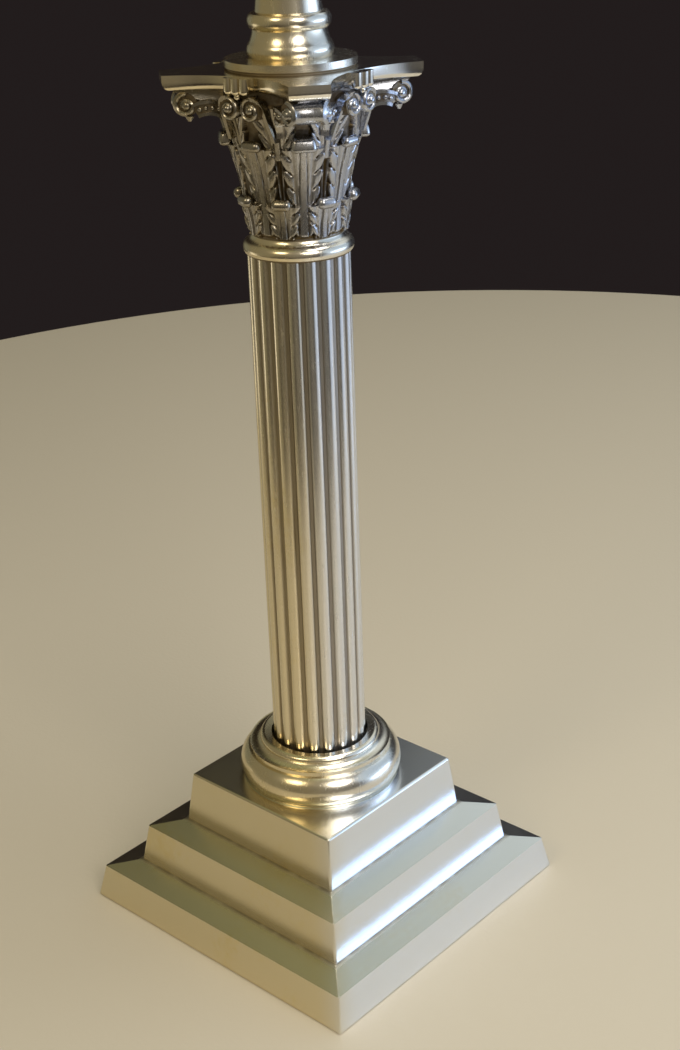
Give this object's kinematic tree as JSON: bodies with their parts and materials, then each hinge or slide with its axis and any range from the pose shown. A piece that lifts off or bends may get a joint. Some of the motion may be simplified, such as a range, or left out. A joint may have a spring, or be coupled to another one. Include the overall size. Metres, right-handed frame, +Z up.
{
  "type": "column oil lamp",
  "caption": "Column oil lamp: square stepped base, reeded column, Corinthian capital, lift-out reservoir, flat-wick burner with winders and glass chimney.",
  "frame": {"origin": "centre of the base's underside, on the surface the lamp stands on", "axes": "+Z up along the column; X and Y along the base's sides, winder knobs towards +X"},
  "size_m": [0.152, 0.152, 0.7999],
  "materials": {
    "silver_plate": "polished, worn silver plate on brass",
    "burner_brass": "polished, lightly tarnished",
    "steel": "plain",
    "cast_iron": "as cast",
    "board_wood": "unvarnished",
    "felt": "green baize",
    "wick_cotton": "woven cotton",
    "chimney_glass": "clear"
  },
  "bodies": {
    "stand": {"stepped_base": "silver_plate", "base_weight": "cast_iron", "base_board": "board_wood", "base_felt": "felt", "base_screws": "steel", "tie_rod": "steel", "rod_nut": "steel", "rod_washer": "steel", "column_foot": "silver_plate", "column_shaft": "silver_plate", "necking_ring": "silver_plate", "capital": "silver_plate", "abacus": "silver_plate", "font_socket": "silver_plate", "socket_nut": "steel"},
    "font": {"font_bowl": "silver_plate", "font_cover": "silver_plate", "font_collar": "silver_plate"},
    "burner": {"burner_drum": "burner_brass", "burner_basket": "burner_brass", "wick_tube_front": "burner_brass", "wick_tube_back": "burner_brass", "flame_dome": "burner_brass", "chimney_gallery": "burner_brass"},
    "winder_front": {"spindle_front": "burner_brass", "knob_front": "burner_brass"},
    "winder_back": {"spindle_back": "burner_brass", "knob_back": "burner_brass"},
    "wick_front": {"wick_front": "wick_cotton"},
    "wick_back": {"wick_back": "wick_cotton"},
    "chimney": {"chimney": "chimney_glass"}
  },
  "joints": [
    {"name": "font_lift", "type": "slide", "parent": "stand", "child": "font", "axis": [0, 0, 1], "range_m": [0, 0.05]},
    {"name": "burner_turn", "type": "hinge", "parent": "font", "child": "burner", "pos_m": [0, 0, 0.51596], "axis": [0, 0, 1], "range_deg": [0, 40]},
    {"name": "winder_front_turn", "type": "hinge", "parent": "burner", "child": "winder_front", "pos_m": [0, -0.0139, 0.52596], "axis": [1, 0, 0], "range_deg": [-70, 70]},
    {"name": "winder_back_turn", "type": "hinge", "parent": "burner", "child": "winder_back", "pos_m": [0, 0.0139, 0.52596], "axis": [1, 0, 0], "range_deg": [-70, 70]},
    {"name": "wick_front_rise", "type": "slide", "parent": "burner", "child": "wick_front", "axis": [0, 0, 1], "range_m": [-0.0068, 0.0068]},
    {"name": "wick_back_rise", "type": "slide", "parent": "burner", "child": "wick_back", "axis": [0, 0, 1], "range_m": [-0.0068, 0.0068]},
    {"name": "chimney_lift", "type": "slide", "parent": "burner", "child": "chimney", "axis": [0, 0, 1], "range_m": [0, 0.08]}
  ],
  "couplings": [
    {"joint": "wick_front_rise", "follows": "winder_front_turn", "m_per_rad": 0.005},
    {"joint": "wick_back_rise", "follows": "winder_back_turn", "m_per_rad": -0.005}
  ]
}
